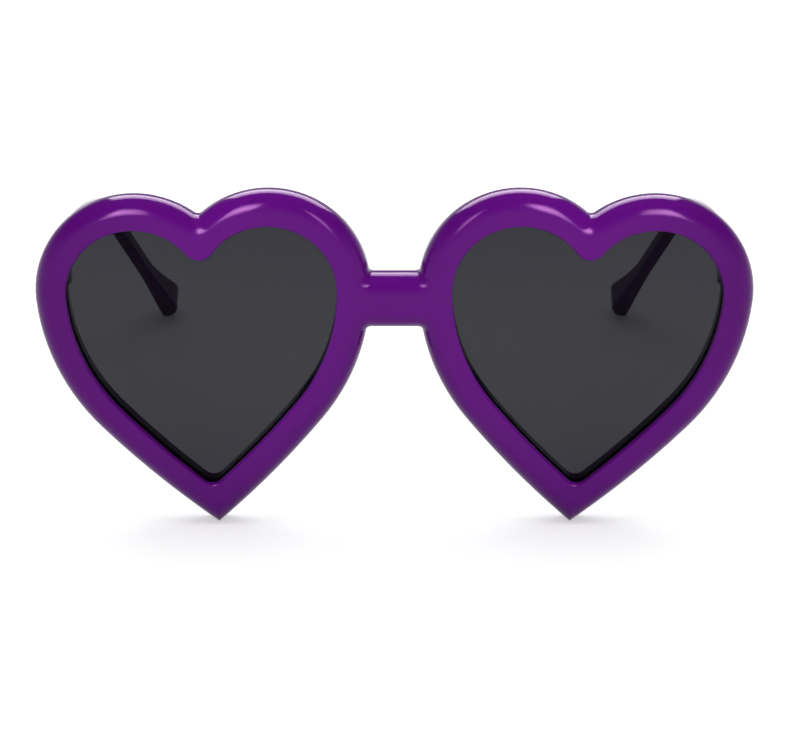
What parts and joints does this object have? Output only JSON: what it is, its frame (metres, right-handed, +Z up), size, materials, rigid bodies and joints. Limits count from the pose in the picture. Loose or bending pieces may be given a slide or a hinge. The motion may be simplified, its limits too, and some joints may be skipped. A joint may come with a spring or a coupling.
{
  "type": "heart shaped sunglasses",
  "caption": "Glossy purple heart shaped sunglasses: a moulded plastic front with dark tinted lenses, bonded nose pads and curved arms that fold on small screwed hinges.",
  "frame": {"origin": "bottom centre of the pair's box, on the surface it stands on, arms open", "axes": "+X to the right as seen from the front (across both lenses), +Y from the front face back along the arms, +Z up"},
  "size_m": [0.1498, 0.1384, 0.0738],
  "materials": {
    "purple_plastic": "glossy moulded",
    "tinted_lens": "polished dark grey tint",
    "hinge_steel": "satin"
  },
  "bodies": {
    "front": {"front_frame": "purple_plastic", "lens_right": "tinted_lens", "nose_pad_right": "purple_plastic", "front_hinge_right": "hinge_steel", "front_rivets_right": "hinge_steel", "hinge_screw_right": "hinge_steel", "lens_left": "tinted_lens", "nose_pad_left": "purple_plastic", "front_hinge_left": "hinge_steel", "front_rivets_left": "hinge_steel", "hinge_screw_left": "hinge_steel"},
    "arm_right": {"arm_hinge_right": "hinge_steel", "arm_rivets_right": "hinge_steel", "arm_right": "purple_plastic"},
    "arm_left": {"arm_hinge_left": "hinge_steel", "arm_rivets_left": "hinge_steel", "arm_left": "purple_plastic"}
  },
  "joints": [
    {"name": "fold_right", "type": "hinge", "parent": "front", "child": "arm_right", "pos_m": [0.06982, -0.05391, 0.05229], "axis": [0, 0, 1], "range_deg": [0, 80]},
    {"name": "fold_left", "type": "hinge", "parent": "front", "child": "arm_left", "pos_m": [-0.06982, -0.05391, 0.05229], "axis": [0, 0, -1], "range_deg": [0, 88]}
  ]
}
